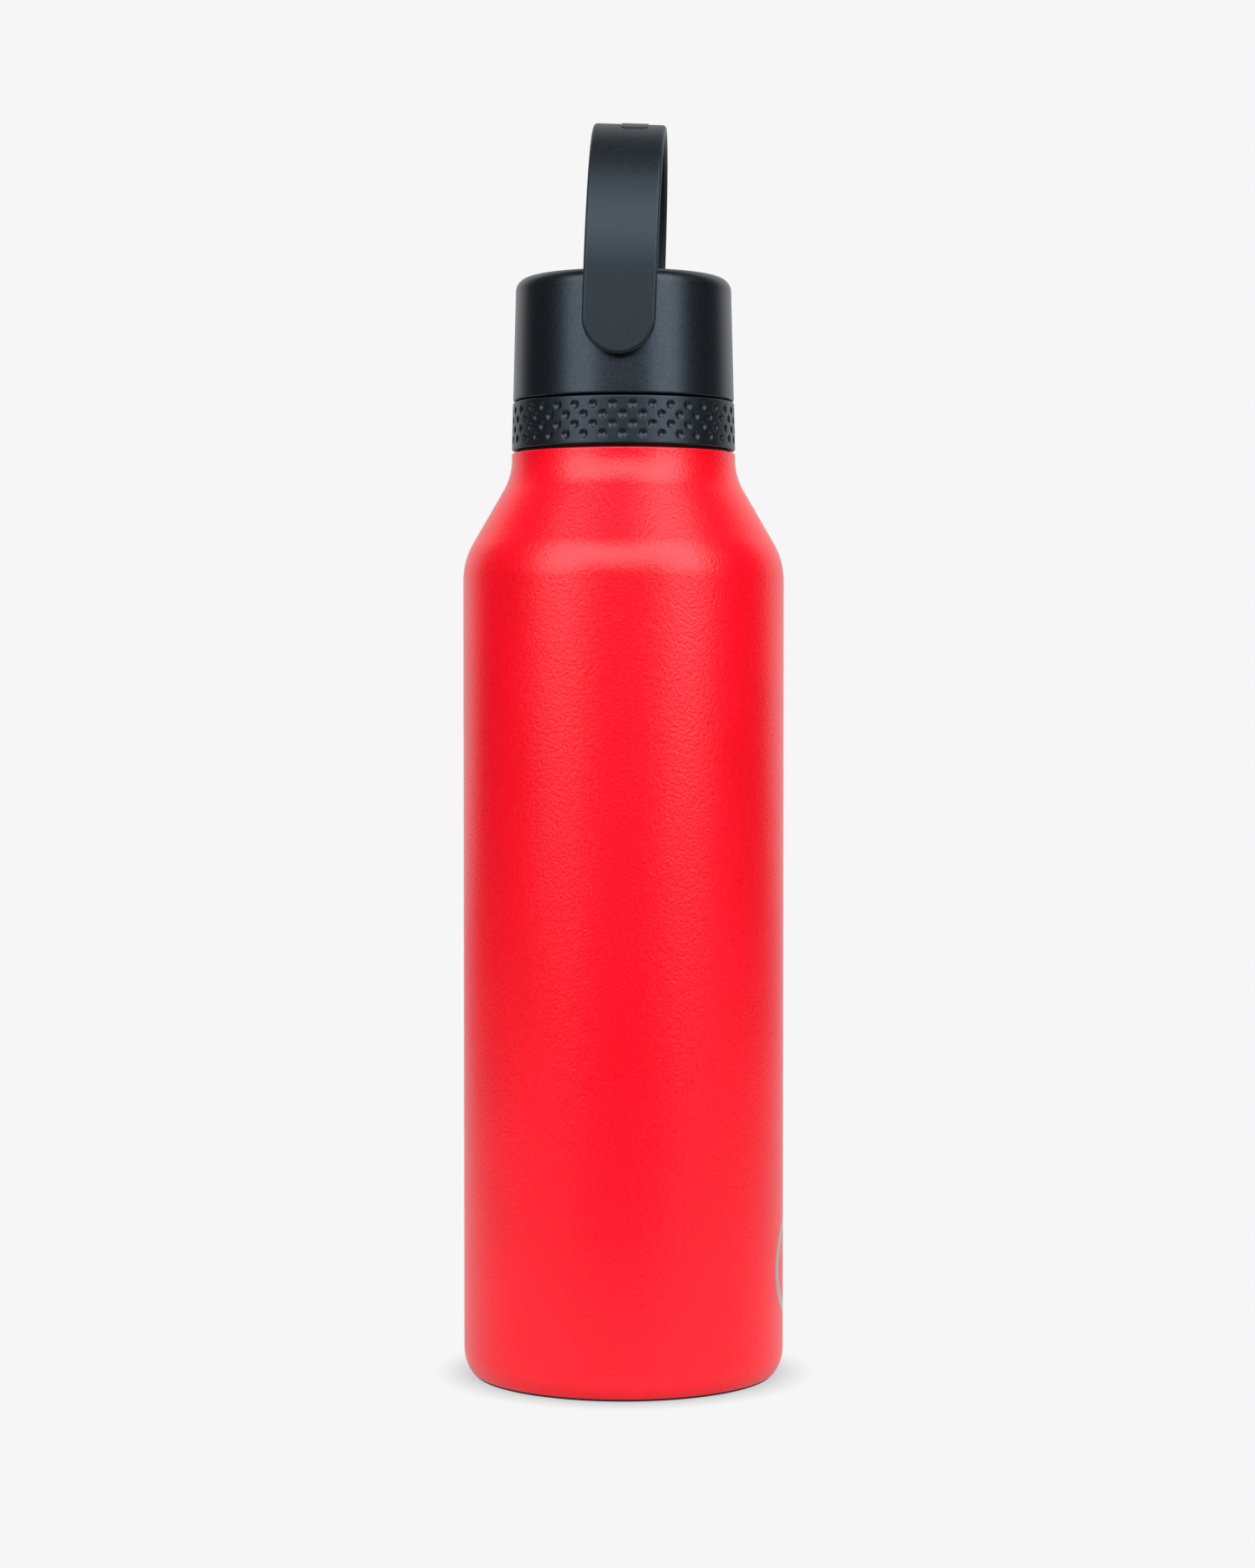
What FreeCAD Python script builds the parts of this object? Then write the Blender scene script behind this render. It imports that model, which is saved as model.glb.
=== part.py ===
"""Insulated water bottle: a double-walled steel vacuum bottle with a two-part screw lid.

The collar screws into the bottle's neck and carries a drinking spout. The cap screws onto the
spout, and a flat strap handle swings on two studs in the cap's wall.

Frame: millimetres, +Z up. The origin is the centre of the foot, on the surface that it stands on.
The strap's pivot axis runs along Y, so the strap's two legs lie in front (-Y) and behind (+Y).
The strap stands a little off upright, as it does when it's let go.
"""
import FreeCAD, Part
import math
import os
from FreeCAD import Vector

os.makedirs("parts", exist_ok=True)

# ---------------------------------------------------------------- driving dimensions
# Bottle: outer wall
BODY_R = 36.5             # outside radius; 73 mm across
SHELL_T = 0.7             # outer wall with its powder coat
NECK_R = 25.4             # outside radius of the neck
RIM_Z = 209.8             # top of the neck
NECK_H = 1.2              # straight stretch below the rim
SHOULDER_ARC_R = 17.0     # convex arc above the straight wall
NECK_ARC_R = 14.4         # concave arc below the neck
SHOULDER_CONE = 30.0      # degrees between the cone and the axis
BASE_ARC_R = 9.0          # arc between the straight wall and the base
BASE_ARC_Z = 6.0          # height of that arc's centre
BASE_LAND_W = 3.6         # flat ring that the shell turns in to at the base

# Bottle: foot, base plate, liner and sealed inner pieces
FOOT_T = 0.6
FOOT_INSET = 0.5          # foot edge inside the shell's lower edge
PLATE_T = 0.8
PLATE_RISE = 1.6          # the base plate is dished up by this much
PORT_R = 2.5
PORT_T = 1.6
VACUUM_GAP = 2.4          # between the two walls
NECK_GAP = 1.4            # between the two walls in the neck
LINER_T = 0.5
LINER_FLOOR_Z = 6.4       # underside of the liner's floor
LINER_CORNER_R = 8.0
LINER_SHOULDER_DROP = 7.0  # the liner's shoulder lies this much below the shell's
LINER_LIP_T = 1.0         # rolled lip where the walls are welded together
FOIL_T = 0.15
FOIL_MARGIN = 6.0         # foil ends this far from the liner's rounded parts
GETTER_R = 6.0
GETTER_T = 2.0

# Screw threads: one ridge in each part, half a pitch apart
THREAD_LEAD = 4.0
THREAD_TURNS = 1.25
RIDGE_H = 1.0             # height of a ridge
RIDGE_BASE = 2.4          # width at its root
RIDGE_CREST = 1.2         # width at its crest
THREAD_GAP = 0.4          # radial room between a crest and the wall facing it
RIDGE_ROOT = 0.2          # depth that a ridge is rooted in its wall

# Collar
COLLAR_GAP = 0.7          # dark recess between the bottle's rim and the band
BAND_H = 10.8
BAND_TAPER = 0.25         # the band's top is narrower by this much in radius
BAND_T = 1.3
GASKET_T = 1.1            # collar gasket, squeezed between rim and collar
GASKET_ROOM = 0.3         # between the gasket and the plug inside it, and the band outside it
PLUG_DEPTH = 12.8         # plug below the bottle's rim
PLUG_T = 1.8
PLUG_RIDGE_UP = 2.0       # the plug's ridge starts this far above its bottom
DECK_T = 2.0
AIR_GAP = 2.0             # between the plug's wall and the spout's
SPOUT_H = 15.7            # spout above the collar
SPOUT_T = 2.0
SPOUT_LIP_R = 0.8
SPOUT_RIDGE_UP = 3.1      # the spout's ridge starts this far above the collar
SLEEVE_FLANGE_T = 1.6
DIMPLES_ROUND = 36
DIMPLE_ROWS = 4
DIMPLE_ROW_UP = 2.25      # first row above the band's lower edge
DIMPLE_ROW_PITCH = 2.17
DIMPLE_R = 0.9            # radius of a dimple where it meets the band
DIMPLE_DEPTH = 0.4

# Cap
CAP_SEAM = 0.4            # between the collar and the cap
CAP_STEP = 0.05           # the cap's lower edge is this much inside the band's upper edge
CAP_DRAFT = 0.7           # the cap's top is narrower by this much in radius
CAP_H = 27.8
CAP_EDGE_R = 3.0
CAP_T = 1.8
CAP_ROOF_T = 2.0
CORE_T = 1.8
CAP_GASKET_T = 1.6
CAP_GASKET_W = 4.7
CAP_GASKET_ROOM = 0.3
FOAM_ROOM = 0.4

# Handle
STRAP_W = 16.3
STRAP_T = 2.2
STRAP_STANDOFF = 0.6      # between the cap and a leg's inner face, at the pivot
STRAP_EDGE_R = 0.8
PIVOT_UP = 16.4           # pivot above the cap's lower edge
LOOP_H = 46.2             # top of the strap above the pivot
ARCH_SIDE_R = 50.0        # outside radius of the gentle curve that each leg ends in
ARCH_SIDE_TURN = 24.0     # degrees that this curve turns through before the top's arc
HANDLE_LEAN = 2.1         # degrees that the strap, as it stands, leans over towards +X
PAD_W = 6.0
PAD_ASIDE = 1.2           # the pad lies this far towards +X of the strap's middle
PAD_RECESS = 0.4
PAD_PROUD = 0.2
PAD_HALF_ANGLE = 24.0     # degrees that the pad runs each side of the top
STUD_HEAD_R = 3.5
STUD_HEAD_T = 1.4
STUD_R = 2.0
STUD_ROOM = 0.7           # between a stud's inner end and the cap's core
BUSH_GAP = 0.05           # running clearance of a stud in its bush
BUSH_T = 1.2
BUSH_FLANGE_R = 5.0
BUSH_FLANGE_T = 0.8
BUSH_TAIL = 0.5           # the bush stands this far into the cap
WASHER_T = 0.35
CLIP_T = 0.4
CLIP_R = 3.6
CLIP_MOUTH = 2.4          # width of the clip's opening
CLIP_GROOVE = 0.4         # depth of the stud's groove
CLIP_FLOAT = 0.1          # end float between clip and bush

# ---------------------------------------------------------------- derived sizes
LAND_Z = FOOT_T
BAND_Z = RIM_Z + COLLAR_GAP
BAND_TOP_Z = BAND_Z + BAND_H
BAND_TOP_R = NECK_R - BAND_TAPER
FLANGE_Z = RIM_Z + GASKET_T
COLLAR_WALL_R = NECK_R - BAND_T
NECK_BORE_R = NECK_R - SHELL_T - NECK_GAP - LINER_T
LINER_R = BODY_R - SHELL_T - VACUUM_GAP
PLUG_R = NECK_BORE_R - RIDGE_H - THREAD_GAP
PLUG_IN_R = PLUG_R - PLUG_T
PLUG_BOTTOM_Z = RIM_Z - PLUG_DEPTH
PLUG_RIDGE_Z = PLUG_BOTTOM_Z + PLUG_RIDGE_UP
SPOUT_R = PLUG_IN_R - AIR_GAP
SPOUT_TOP_Z = BAND_TOP_Z + SPOUT_H
SPOUT_RIDGE_Z = BAND_TOP_Z + SPOUT_RIDGE_UP
CAP_Z = BAND_TOP_Z + CAP_SEAM
CAP_TOP_Z = CAP_Z + CAP_H
CAP_BOTTOM_R = BAND_TOP_R - CAP_STEP
CAP_TOP_R = CAP_BOTTOM_R - CAP_DRAFT
CORE_IN_R = SPOUT_R + RIDGE_H + THREAD_GAP
CORE_R = CORE_IN_R + CORE_T
CORE_CEILING_Z = SPOUT_TOP_Z + CAP_GASKET_T
PIVOT_Z = CAP_Z + PIVOT_UP
CAP_PIVOT_R = CAP_BOTTOM_R - CAP_DRAFT * PIVOT_UP / CAP_H
STRAP_IN_Y = CAP_PIVOT_R + STRAP_STANDOFF
STRAP_OUT_Y = STRAP_IN_Y + STRAP_T
ARCH_TURN = math.radians(ARCH_SIDE_TURN)
ARCH_TOP_R = (STRAP_OUT_Y - ARCH_SIDE_R * (1 - math.cos(ARCH_TURN))) / math.cos(ARCH_TURN)
ARCH_TOP_Z = PIVOT_Z + LOOP_H - ARCH_TOP_R
ARCH_SIDE_Z = ARCH_TOP_Z - (ARCH_SIDE_R - ARCH_TOP_R) * math.sin(ARCH_TURN)
BUSH_R = STUD_R + BUSH_GAP + BUSH_T
WASHER_IN = STRAP_IN_Y - WASHER_T
BUSH_SEAT = WASHER_IN - BUSH_FLANGE_T
STUD_END = CORE_R + STUD_ROOM
SIDES = {"front": -1, "back": 1}
ROOM = 50.0               # longer than any cut needs
SLACK = 0.01              # two places nearer than this are the same place
CUT_PAST = 1.0            # a cutter runs this far past the faces that it opens


# ---------------------------------------------------------------- helpers
def point(r, z):
    return Vector(r, 0, z)


def line(a, b):
    return Part.LineSegment(a, b).toShape()


def arc(a, middle, b):
    return Part.Arc(a, middle, b).toShape()


def on_circle(centre, radius, degrees):
    """Point at an angle from +X towards +Z round a centre in the XZ plane."""
    turn = math.radians(degrees)
    return point(centre.x + radius * math.cos(turn), centre.z + radius * math.sin(turn))


def turned(edges):
    """Solid of revolution about Z from a closed outline in the XZ plane."""
    face = Part.Face(Part.Wire(edges))
    return face.revolve(Vector(0, 0, 0), Vector(0, 0, 1), 360)


def turned_points(points):
    corners = [point(r, z) for r, z in points]
    return turned([line(a, b) for a, b in zip(corners, corners[1:] + corners[:1])])


def ring(inner_r, outer_r, z0, z1):
    body = Part.makeCylinder(outer_r, z1 - z0, point(0, z0))
    if inner_r <= 0:
        return body
    return body.cut(Part.makeCylinder(inner_r, z1 - z0, point(0, z0)))


def along_y(radius, y0, y1, z):
    """Cylinder about a line along Y at height z, between two places on that line."""
    low, high = sorted((y0, y1))
    return Part.makeCylinder(radius, high - low, Vector(0, low, z), Vector(0, 1, 0))


def wall_path(offset, drop, z_bottom):
    """Points along the bottle's wall from the neck down, moved inwards by an offset.

    They run through the neck's concave arc, the cone, the shoulder's convex arc and the
    straight wall. A drop lowers the whole shoulder.
    """
    tilt = SHOULDER_CONE
    big = SHOULDER_ARC_R - offset
    small = NECK_ARC_R + offset
    neck_centre = point(NECK_R + NECK_ARC_R, RIM_Z - NECK_H - drop)
    cone_high = on_circle(neck_centre, NECK_ARC_R, 180 + tilt)
    cone_low_r = BODY_R - SHOULDER_ARC_R + SHOULDER_ARC_R * math.cos(math.radians(tilt))
    fall = (cone_low_r - cone_high.x) / math.tan(math.radians(tilt))
    centre_z = cone_high.z - fall - SHOULDER_ARC_R * math.sin(math.radians(tilt))
    body_centre = point(BODY_R - SHOULDER_ARC_R, centre_z)
    wall_high = on_circle(body_centre, big, 0)
    return {
        "neck_low": on_circle(neck_centre, small, 180),
        "neck_mid": on_circle(neck_centre, small, 180 + tilt / 2),
        "cone_high": on_circle(neck_centre, small, 180 + tilt),
        "cone_low": on_circle(body_centre, big, tilt),
        "wall_mid": on_circle(body_centre, big, tilt / 2),
        "wall_high": wall_high,
        "wall_low": point(wall_high.x, z_bottom),
    }


def wall_edges(path):
    edges = [arc(path["neck_low"], path["neck_mid"], path["cone_high"])]
    edges.append(line(path["cone_high"], path["cone_low"]))
    edges.append(arc(path["cone_low"], path["wall_mid"], path["wall_high"]))
    edges.append(line(path["wall_high"], path["wall_low"]))
    return edges


def ridge(wall_r, z0, outwards):
    """Helical thread ridge rooted in a wall, standing outwards or inwards from it."""
    way = 1 if outwards else -1
    root = wall_r - way * RIDGE_ROOT
    crest = wall_r + way * RIDGE_H
    spread = (RIDGE_BASE - RIDGE_CREST) / 2 / RIDGE_H
    root_half = RIDGE_BASE / 2 + spread * RIDGE_ROOT
    crest_half = RIDGE_CREST / 2
    corners = [point(root, -root_half), point(crest, -crest_half)]
    corners += [point(crest, crest_half), point(root, root_half)]
    outline = Part.Wire([line(a, b) for a, b in zip(corners, corners[1:] + corners[:1])])
    helix = Part.makeHelix(THREAD_LEAD, THREAD_LEAD * THREAD_TURNS, wall_r)
    solid = Part.Wire(helix.Edges).makePipeShell([outline], True, True)
    solid.translate(point(0, z0))
    return solid


def save(shape, name):
    solids = shape.Solids
    shape = solids[0] if len(solids) == 1 else Part.makeCompound(solids)
    if not shape.isValid():
        print("INVALID", name)
    shape.exportStep("parts/" + name + ".step")
    box = shape.BoundBox
    print(f"{name:22s} solids {len(solids)} volume {shape.Volume:10.1f}"
          f"  z {box.ZMin:7.2f} {box.ZMax:7.2f}  r {box.XMax:6.2f}")


# ---------------------------------------------------------------- bottle
def shell_base(offset, land_in_r):
    """Outline from the straight wall round the base arc to the flat land at the bottom."""
    centre = point(BODY_R - BASE_ARC_R, BASE_ARC_Z)
    radius = BASE_ARC_R - offset
    floor = LAND_Z + offset
    turn = -math.degrees(math.asin((BASE_ARC_Z - floor) / radius))
    start = on_circle(centre, radius, 0)
    middle = on_circle(centre, radius, turn / 2)
    end = on_circle(centre, radius, turn)
    land = point(land_in_r, floor)
    return [arc(start, middle, end), line(end, land)], end, land


def land_inner_r():
    outline = shell_base(0, 0)
    return outline[1].x - BASE_LAND_W


def outer_shell():
    outside = wall_path(0, 0, BASE_ARC_Z)
    inside = wall_path(SHELL_T, 0, BASE_ARC_Z)
    rim_out = point(NECK_R, RIM_Z)
    rim_in = point(NECK_R - SHELL_T, RIM_Z)
    base_out, _, land_out = shell_base(0, land_inner_r())
    base_in, _, land_in = shell_base(SHELL_T, land_inner_r())
    edges = [line(rim_out, outside["neck_low"])] + wall_edges(outside) + base_out
    edges.append(line(land_out, land_in))
    edges += base_in + wall_edges(inside)
    edges.append(line(inside["neck_low"], rim_in))
    edges.append(line(rim_in, rim_out))
    return turned(Part.__sortEdges__(edges))


def base_plate():
    """Dished plate, welded to the inner edge of the shell's land."""
    r = land_inner_r()
    top = LAND_Z + PLATE_RISE
    dish = r - PLATE_RISE
    plate = turned_points([
        (0, top), (dish - PLATE_T, top), (r - PLATE_T, LAND_Z), (r, LAND_Z),
        (r, LAND_Z + PLATE_T), (dish, top + PLATE_T), (0, top + PLATE_T)])
    return plate.cut(Part.makeCylinder(PORT_R, ROOM, point(0, 0)))


def vacuum_port_seal():
    z0 = LAND_Z + PLATE_RISE
    return ring(0, PORT_R, z0, z0 + PORT_T)


def foot_pad():
    _, edge, _ = shell_base(0, 0)
    return ring(0, edge.x - FOOT_INSET, 0, LAND_Z)


def liner_profile(r_wall, r_bore, corner, floor_z, path):
    """Outline of one side of the liner, from the neck down to the axis."""
    centre = point(r_wall - corner, floor_z + corner)
    start = on_circle(centre, corner, 0)
    middle = on_circle(centre, corner, -45)
    end = on_circle(centre, corner, -90)
    top = path["wall_high"]
    low = path["cone_low"]
    cone_foot = point(r_bore, low.z + (low.x - r_bore) / math.tan(math.radians(SHOULDER_CONE)))
    edges = [line(cone_foot, path["cone_low"]), arc(path["cone_low"], path["wall_mid"], top)]
    edges += [line(top, start), arc(start, middle, end), line(end, point(0, floor_z))]
    return edges, cone_foot


def inner_liner():
    step = SHELL_T + VACUUM_GAP
    path_out = wall_path(step, LINER_SHOULDER_DROP, LINER_FLOOR_Z)
    path_in = wall_path(step + LINER_T, LINER_SHOULDER_DROP, LINER_FLOOR_Z)
    outer, foot_out = liner_profile(
        LINER_R, NECK_BORE_R + LINER_T, LINER_CORNER_R, LINER_FLOOR_Z, path_out)
    inner, foot_in = liner_profile(
        LINER_R - LINER_T, NECK_BORE_R, LINER_CORNER_R - LINER_T, LINER_FLOOR_Z + LINER_T, path_in)
    tube_top = point(NECK_BORE_R + LINER_T, RIM_Z - LINER_LIP_T)
    lip_low = point(NECK_R - SHELL_T, RIM_Z - LINER_LIP_T)
    lip_high = point(NECK_R - SHELL_T, RIM_Z)
    bore_top = point(NECK_BORE_R, RIM_Z)
    edges = outer + inner
    edges += [line(foot_out, tube_top), line(tube_top, lip_low), line(lip_low, lip_high)]
    edges += [line(lip_high, bore_top), line(bore_top, foot_in)]
    edges.append(line(point(0, LINER_FLOOR_Z), point(0, LINER_FLOOR_Z + LINER_T)))
    return turned(Part.__sortEdges__(edges)).fuse(ridge(NECK_BORE_R, PLUG_RIDGE_Z + THREAD_LEAD / 2, False))


def copper_wrap():
    shoulder = wall_path(SHELL_T + VACUUM_GAP, LINER_SHOULDER_DROP, LINER_FLOOR_Z)["wall_high"]
    z0 = LINER_FLOOR_Z + LINER_CORNER_R + FOIL_MARGIN
    return ring(LINER_R, LINER_R + FOIL_T, z0, shoulder.z - FOIL_MARGIN)


def getter():
    return ring(0, GETTER_R, LINER_FLOOR_Z - GETTER_T, LINER_FLOOR_Z)


# ---------------------------------------------------------------- collar
def collar_body():
    deck_z = BAND_TOP_Z - DECK_T
    body = turned_points([
        (PLUG_IN_R, PLUG_BOTTOM_Z), (PLUG_R, PLUG_BOTTOM_Z), (PLUG_R, FLANGE_Z),
        (COLLAR_WALL_R, FLANGE_Z), (COLLAR_WALL_R, BAND_TOP_Z), (SPOUT_R, BAND_TOP_Z),
        (SPOUT_R, deck_z), (PLUG_IN_R, deck_z)])
    return body.fuse(ridge(PLUG_R, PLUG_RIDGE_Z, True))


def grip_band():
    band = turned_points([
        (COLLAR_WALL_R, BAND_Z), (NECK_R, BAND_Z), (BAND_TOP_R, BAND_TOP_Z),
        (COLLAR_WALL_R, BAND_TOP_Z)])
    ball = (DIMPLE_R ** 2 + DIMPLE_DEPTH ** 2) / (2 * DIMPLE_DEPTH)
    step = 360 / DIMPLES_ROUND
    balls = []
    for row in range(DIMPLE_ROWS):
        up = DIMPLE_ROW_UP + DIMPLE_ROW_PITCH * row
        centre_r = NECK_R - BAND_TAPER * up / BAND_H - DIMPLE_DEPTH + ball
        for place in range(DIMPLES_ROUND):
            turn = math.radians(-90 + step * (place + 0.5 * (row % 2)))
            centre = Vector(centre_r * math.cos(turn), centre_r * math.sin(turn), BAND_Z + up)
            balls.append(Part.makeSphere(ball, centre))
    return band.cut(balls)


def spout_sleeve():
    bore = SPOUT_R - SPOUT_T
    z0 = PLUG_BOTTOM_Z - SLEEVE_FLANGE_T
    lip = SPOUT_LIP_R
    outside = point(SPOUT_R - lip, SPOUT_TOP_Z)
    inside = point(bore + lip, SPOUT_TOP_Z)
    edges = [
        line(point(bore, z0), point(PLUG_R, z0)),
        line(point(PLUG_R, z0), point(PLUG_R, PLUG_BOTTOM_Z)),
        line(point(PLUG_R, PLUG_BOTTOM_Z), point(SPOUT_R, PLUG_BOTTOM_Z)),
        line(point(SPOUT_R, PLUG_BOTTOM_Z), point(SPOUT_R, SPOUT_TOP_Z - lip)),
        arc(point(SPOUT_R, SPOUT_TOP_Z - lip),
            on_circle(point(SPOUT_R - lip, SPOUT_TOP_Z - lip), lip, 45), outside),
        line(outside, inside),
        arc(inside, on_circle(point(bore + lip, SPOUT_TOP_Z - lip), lip, 135),
            point(bore, SPOUT_TOP_Z - lip)),
        line(point(bore, SPOUT_TOP_Z - lip), point(bore, z0)),
    ]
    return turned(edges).fuse(ridge(SPOUT_R, SPOUT_RIDGE_Z, True))


def collar_gasket():
    return ring(PLUG_R + GASKET_ROOM, COLLAR_WALL_R - GASKET_ROOM, RIM_Z, FLANGE_Z)


# ---------------------------------------------------------------- cap
def cap_outside_r(z):
    return CAP_BOTTOM_R - CAP_DRAFT * (z - CAP_Z) / CAP_H


def cap_inside_r(z):
    return cap_outside_r(z) - CAP_T


def cap_shell():
    body = turned_points([
        (0, CAP_Z), (CAP_BOTTOM_R, CAP_Z), (CAP_TOP_R, CAP_TOP_Z), (0, CAP_TOP_Z)])
    top_edge = [e for e in body.Edges if e.Closed and abs(e.CenterOfMass.z - CAP_TOP_Z) < SLACK]
    body = body.makeFillet(CAP_EDGE_R, top_edge)
    roof = CAP_TOP_Z - CAP_ROOF_T
    bevel_z = roof - CAP_T
    body = body.cut(turned_points([
        (0, CAP_Z), (cap_inside_r(CAP_Z), CAP_Z), (cap_inside_r(bevel_z), bevel_z),
        (cap_inside_r(bevel_z) - CAP_T, roof), (0, roof)]))
    for way in SIDES.values():
        body = body.cut(along_y(BUSH_R, 0, way * ROOM, PIVOT_Z))
        body = body.cut(along_y(BUSH_FLANGE_R, way * BUSH_SEAT, way * ROOM, PIVOT_Z))
    return body


def cap_core():
    flange_z = CAP_Z + CORE_T
    roof_z = CORE_CEILING_Z + CORE_T
    body = turned_points([
        (CORE_IN_R, CAP_Z), (cap_inside_r(CAP_Z), CAP_Z), (cap_inside_r(flange_z), flange_z),
        (CORE_R, flange_z), (CORE_R, roof_z), (0, roof_z), (0, CORE_CEILING_Z),
        (CORE_IN_R, CORE_CEILING_Z)])
    return body.fuse(ridge(CORE_IN_R, SPOUT_RIDGE_Z + THREAD_LEAD / 2, False))


def cap_foam():
    z0 = CORE_CEILING_Z + CORE_T
    z1 = CAP_TOP_Z - CAP_ROOF_T
    return ring(0, cap_inside_r(z1) - CAP_T - FOAM_ROOM, z0, z1)


def cap_gasket():
    outer = CORE_IN_R - RIDGE_H - CAP_GASKET_ROOM
    return ring(outer - CAP_GASKET_W, outer, SPOUT_TOP_Z, CORE_CEILING_Z)


def pivot_bush(way):
    bush = along_y(BUSH_FLANGE_R, way * BUSH_SEAT, way * WASHER_IN, PIVOT_Z)
    tail = cap_inside_r(PIVOT_Z) - BUSH_TAIL
    bush = bush.fuse(along_y(BUSH_R, way * tail, way * BUSH_SEAT, PIVOT_Z))
    return bush.cut(along_y(STUD_R + BUSH_GAP, 0, way * ROOM, PIVOT_Z))


def friction_washer(way):
    washer = along_y(BUSH_FLANGE_R, way * WASHER_IN, way * STRAP_IN_Y, PIVOT_Z)
    return washer.cut(along_y(STUD_R + BUSH_GAP, 0, way * ROOM, PIVOT_Z))


# ---------------------------------------------------------------- handle
def clip_outer():
    """Distance from the cap's axis to the clip's outer face."""
    return cap_inside_r(PIVOT_Z) - BUSH_TAIL - CLIP_FLOAT


def stud_clip(way):
    outer = clip_outer()
    clip = along_y(CLIP_R, way * (outer - CLIP_T), way * outer, PIVOT_Z)
    clip = clip.cut(along_y(STUD_R - CLIP_GROOVE, 0, way * ROOM, PIVOT_Z))
    mouth = Vector(-CLIP_MOUTH / 2, -ROOM, PIVOT_Z - CLIP_R)
    return clip.cut(Part.makeBox(CLIP_MOUTH, 2 * ROOM, CLIP_R, mouth))


def pivot_stud(way):
    stud = along_y(STUD_HEAD_R, way * STRAP_IN_Y, way * (STRAP_IN_Y + STUD_HEAD_T), PIVOT_Z)
    stud = stud.fuse(along_y(STUD_R, way * STUD_END, way * STRAP_IN_Y, PIVOT_Z))
    groove = along_y(STUD_HEAD_R, way * (clip_outer() - CLIP_T), way * clip_outer(), PIVOT_Z)
    groove = groove.cut(along_y(STUD_R - CLIP_GROOVE, 0, way * ROOM, PIVOT_Z))
    return stud.cut(groove)


def on_arch(depth, degrees, way):
    """Place at a depth under the strap's outer face, where that face looks up by an angle."""
    turn = math.radians(degrees)
    if degrees <= ARCH_SIDE_TURN:
        out = STRAP_OUT_Y - ARCH_SIDE_R + (ARCH_SIDE_R - depth) * math.cos(turn)
        up = ARCH_SIDE_Z + (ARCH_SIDE_R - depth) * math.sin(turn)
    else:
        out = (ARCH_TOP_R - depth) * math.cos(turn)
        up = ARCH_TOP_Z + (ARCH_TOP_R - depth) * math.sin(turn)
    return Vector(0, way * out, up)


def arch_line(depth, z0):
    """Edges of the strap seen along X, at a depth under its outer face: legs, sides and top."""
    joints = {way: on_arch(depth, ARCH_SIDE_TURN, way) for way in SIDES.values()}
    edges = [arc(joints[-1], on_arch(depth, 90, 1), joints[1])]
    for way, joint in joints.items():
        leg = on_arch(depth, 0, way)
        edges.append(arc(leg, on_arch(depth, ARCH_SIDE_TURN / 2, way), joint))
        edges.append(line(leg, Vector(0, leg.y, z0)))
    return edges


def arch(depth, z0, x_half):
    """Solid under the strap's line, at a depth under its outer face."""
    foot = on_arch(depth, 0, 1).y
    floor = line(Vector(0, -foot, z0), Vector(0, foot, z0))
    face = Part.Face(Part.Wire(Part.__sortEdges__(arch_line(depth, z0) + [floor])))
    face.translate(Vector(-x_half, 0, 0))
    return face.extrude(Vector(2 * x_half, 0, 0))


def leant(shape):
    """Shape of the handle, swung about the pivot to where it stands."""
    return shape.rotate(point(0, PIVOT_Z), Vector(0, 1, 0), HANDLE_LEAN)


def pad_sector(deep, proud):
    """The pad's slice of the top's arc, from a depth under the strap's face to above it."""
    start = PAD_ASIDE - PAD_W / 2
    turn = math.radians(PAD_HALF_ANGLE)
    side = ROOM * math.sin(turn)
    high = ARCH_TOP_Z + ROOM * math.cos(turn)
    wedge = Part.makePolygon([
        Vector(start, 0, ARCH_TOP_Z), Vector(start, -side, high), Vector(start, side, high),
        Vector(start, 0, ARCH_TOP_Z)])
    wedge = Part.Face(wedge).extrude(Vector(PAD_W, 0, 0))
    middle = Vector(start, 0, ARCH_TOP_Z)
    outer = Part.makeCylinder(ARCH_TOP_R + proud, PAD_W, middle, Vector(1, 0, 0))
    inner = Part.makeCylinder(ARCH_TOP_R - deep, PAD_W, middle, Vector(1, 0, 0))
    return outer.cut(inner).common(wedge)


def handle_strap():
    half = STRAP_W / 2
    low = PIVOT_Z - half
    strap = arch(0, low, half).cut(arch(STRAP_T, low - CUT_PAST, half + CUT_PAST))
    ends = along_y(half, -ROOM, ROOM, PIVOT_Z)
    upper = Part.makeBox(STRAP_W, 2 * ROOM, ROOM * 2, Vector(-half, -ROOM, PIVOT_Z))
    strap = strap.common(ends.fuse(upper)).removeSplitter()
    outside = Part.Wire(Part.__sortEdges__(arch_line(0, low)))
    edges = []
    for edge in strap.Edges:
        middle = edge.valueAt((edge.FirstParameter + edge.LastParameter) / 2)
        seen = Part.Vertex(Vector(0, middle.y, middle.z))
        across = abs(middle.x) < half - SLACK and middle.z >= PIVOT_Z
        if outside.distToShape(seen)[0] < SLACK and not across:
            edges.append(edge)
    strap = strap.makeFillet(STRAP_EDGE_R, edges)
    for way in SIDES.values():
        strap = strap.cut(along_y(STUD_HEAD_R, 0, way * (STRAP_IN_Y + STUD_HEAD_T), PIVOT_Z))
    return leant(strap.cut(pad_sector(PAD_RECESS, CUT_PAST)))


def handle_pad():
    return leant(pad_sector(PAD_RECESS, PAD_PROUD))


# ---------------------------------------------------------------- build
for make in (outer_shell, base_plate, vacuum_port_seal, foot_pad, inner_liner, copper_wrap, getter,
             collar_body, grip_band, spout_sleeve, collar_gasket,
             cap_shell, cap_core, cap_foam, cap_gasket, handle_strap, handle_pad):
    save(make(), make.__name__)
for side, way in SIDES.items():
    for make in (pivot_bush, friction_washer, stud_clip, pivot_stud):
        save(make(way), make.__name__ + "_" + side)
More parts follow.
